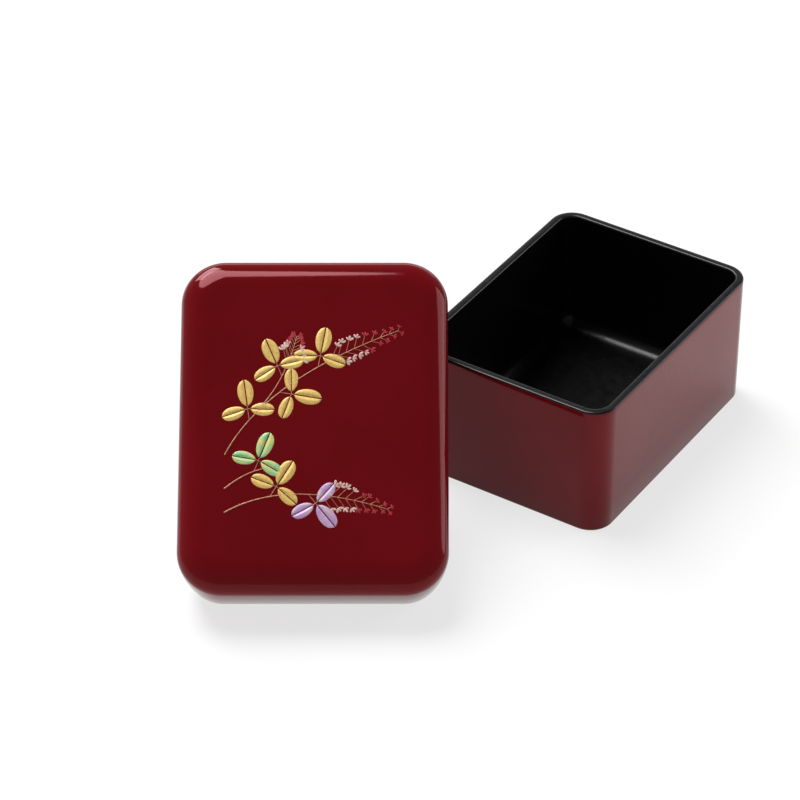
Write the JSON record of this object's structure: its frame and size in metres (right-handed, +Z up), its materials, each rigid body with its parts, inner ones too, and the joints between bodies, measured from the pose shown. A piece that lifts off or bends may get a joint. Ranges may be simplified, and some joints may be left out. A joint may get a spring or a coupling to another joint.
{
  "type": "lacquer case",
  "caption": "Rectangular lacquer box with rounded corners, standing open, its crowned overlapping lid leaning on the rim.",
  "frame": {"origin": "centre of the underside of the case body, on the surface it stands on", "axes": "+Z up, X along the length of the body, Y along its width; the lid leans on the rim of the -X side"},
  "size_m": [0.1851, 0.1221, 0.0715],
  "materials": {
    "case_lacquer": "polished dark red-brown lacquer",
    "black_lacquer": "satin black lacquer",
    "lid_lacquer": "polished dark red lacquer with a gold and shell plant ornament"
  },
  "bodies": {
    "case": {"case_wall": "case_lacquer", "case_base": "black_lacquer"},
    "lid": {"lid_skirt": "lid_lacquer", "lid_top": "lid_lacquer"}
  },
  "joints": [
    {"name": "lid_lift", "type": "slide", "parent": "case", "child": "lid", "axis": [0, 0, 1], "range_m": [0, 0.08]}
  ]
}
